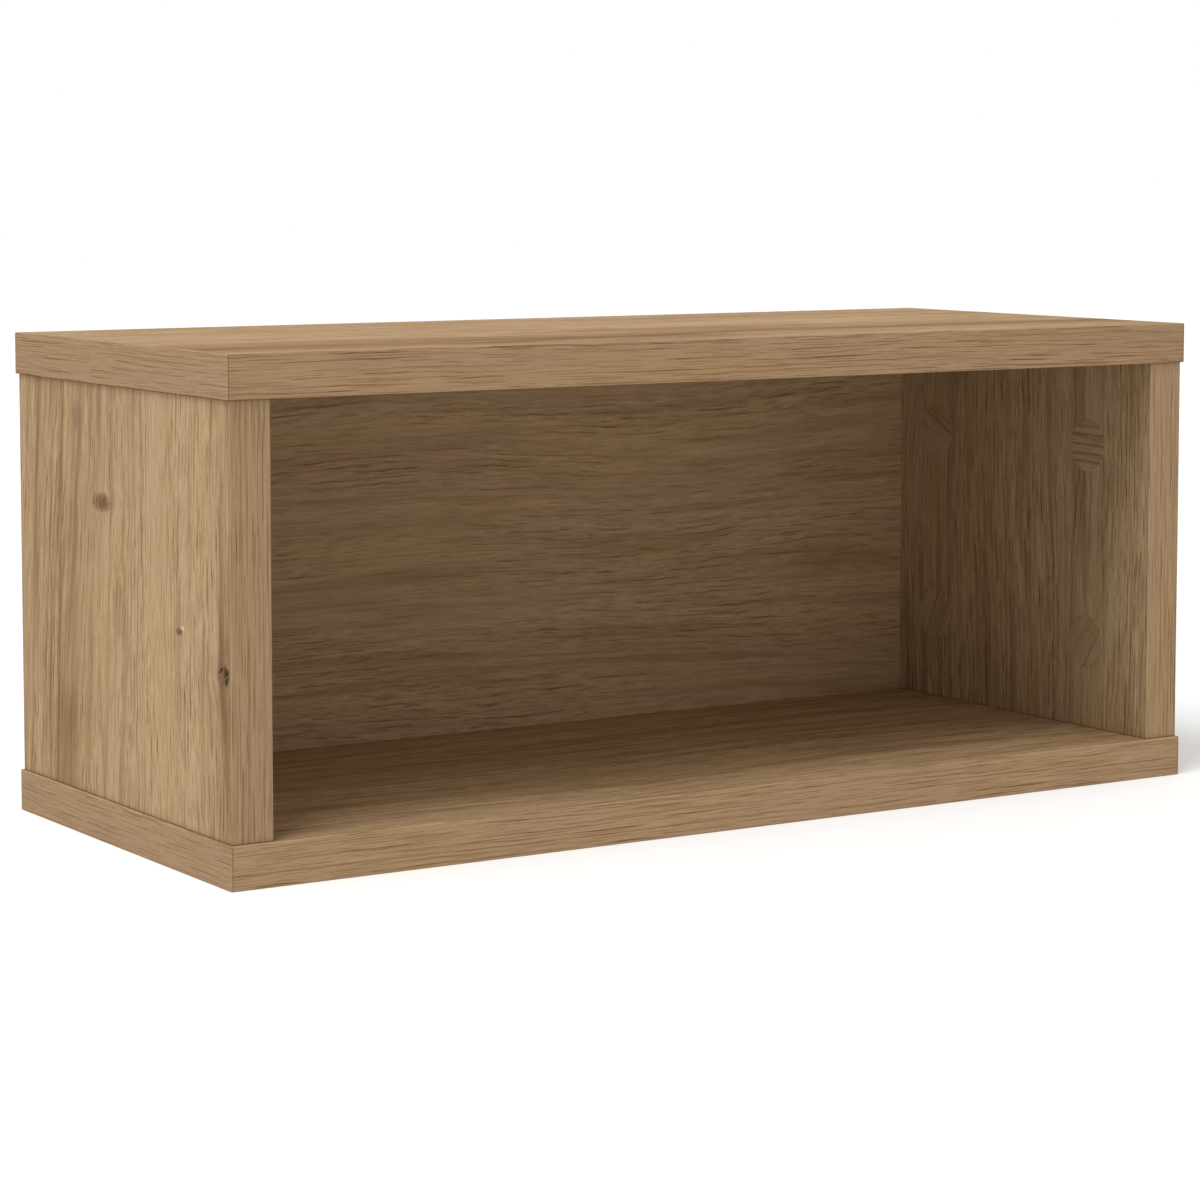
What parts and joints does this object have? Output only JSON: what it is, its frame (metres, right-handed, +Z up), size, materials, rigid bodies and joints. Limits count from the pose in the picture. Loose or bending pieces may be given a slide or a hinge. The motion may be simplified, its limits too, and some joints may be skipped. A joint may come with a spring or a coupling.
{
  "type": "cd rack",
  "caption": "Low open-fronted box rack for a row of CDs: wood-decor top and bottom boards over inset sides and a back board, held by hidden cam locks and dowels.",
  "frame": {"origin": "middle of the footprint, on the surface that the rack stands on", "axes": "+X to the right as seen from the front, +Y to the rear with the open front facing -Y, +Z up"},
  "size_m": [0.4074, 0.1724, 0.175],
  "materials": {
    "oak_decor_board": "chipboard faced with matt printed oak decor, fine embossed pores",
    "oak_decor_band": "matt edge band in the same oak decor, arrises lightly rounded",
    "oak_decor_cap": "thin stick-on foil in the same oak decor",
    "zinc_cam": "die-cast zinc, dull",
    "plated_bolt": "bright zinc plate",
    "beech_dowel": "raw fluted beech"
  },
  "bodies": {
    "root": {"top_board": "oak_decor_board", "bottom_board": "oak_decor_board", "left_side_board": "oak_decor_board", "right_side_board": "oak_decor_board", "back_board": "oak_decor_board", "top_front_band": "oak_decor_band", "top_rear_band": "oak_decor_band", "top_left_band": "oak_decor_band", "top_right_band": "oak_decor_band", "bottom_front_band": "oak_decor_band", "bottom_rear_band": "oak_decor_band", "bottom_left_band": "oak_decor_band", "bottom_right_band": "oak_decor_band", "left_side_front_band": "oak_decor_band", "left_side_rear_band": "oak_decor_band", "right_side_front_band": "oak_decor_band", "right_side_rear_band": "oak_decor_band", "left_bottom_front_cap": "oak_decor_cap", "left_bottom_rear_cap": "oak_decor_cap", "left_top_front_cap": "oak_decor_cap", "left_top_rear_cap": "oak_decor_cap", "right_bottom_front_cap": "oak_decor_cap", "right_bottom_rear_cap": "oak_decor_cap", "right_top_front_cap": "oak_decor_cap", "right_top_rear_cap": "oak_decor_cap", "cam_locks": "zinc_cam", "cam_bolts": "plated_bolt", "wooden_dowels": "beech_dowel"}
  },
  "joints": []
}
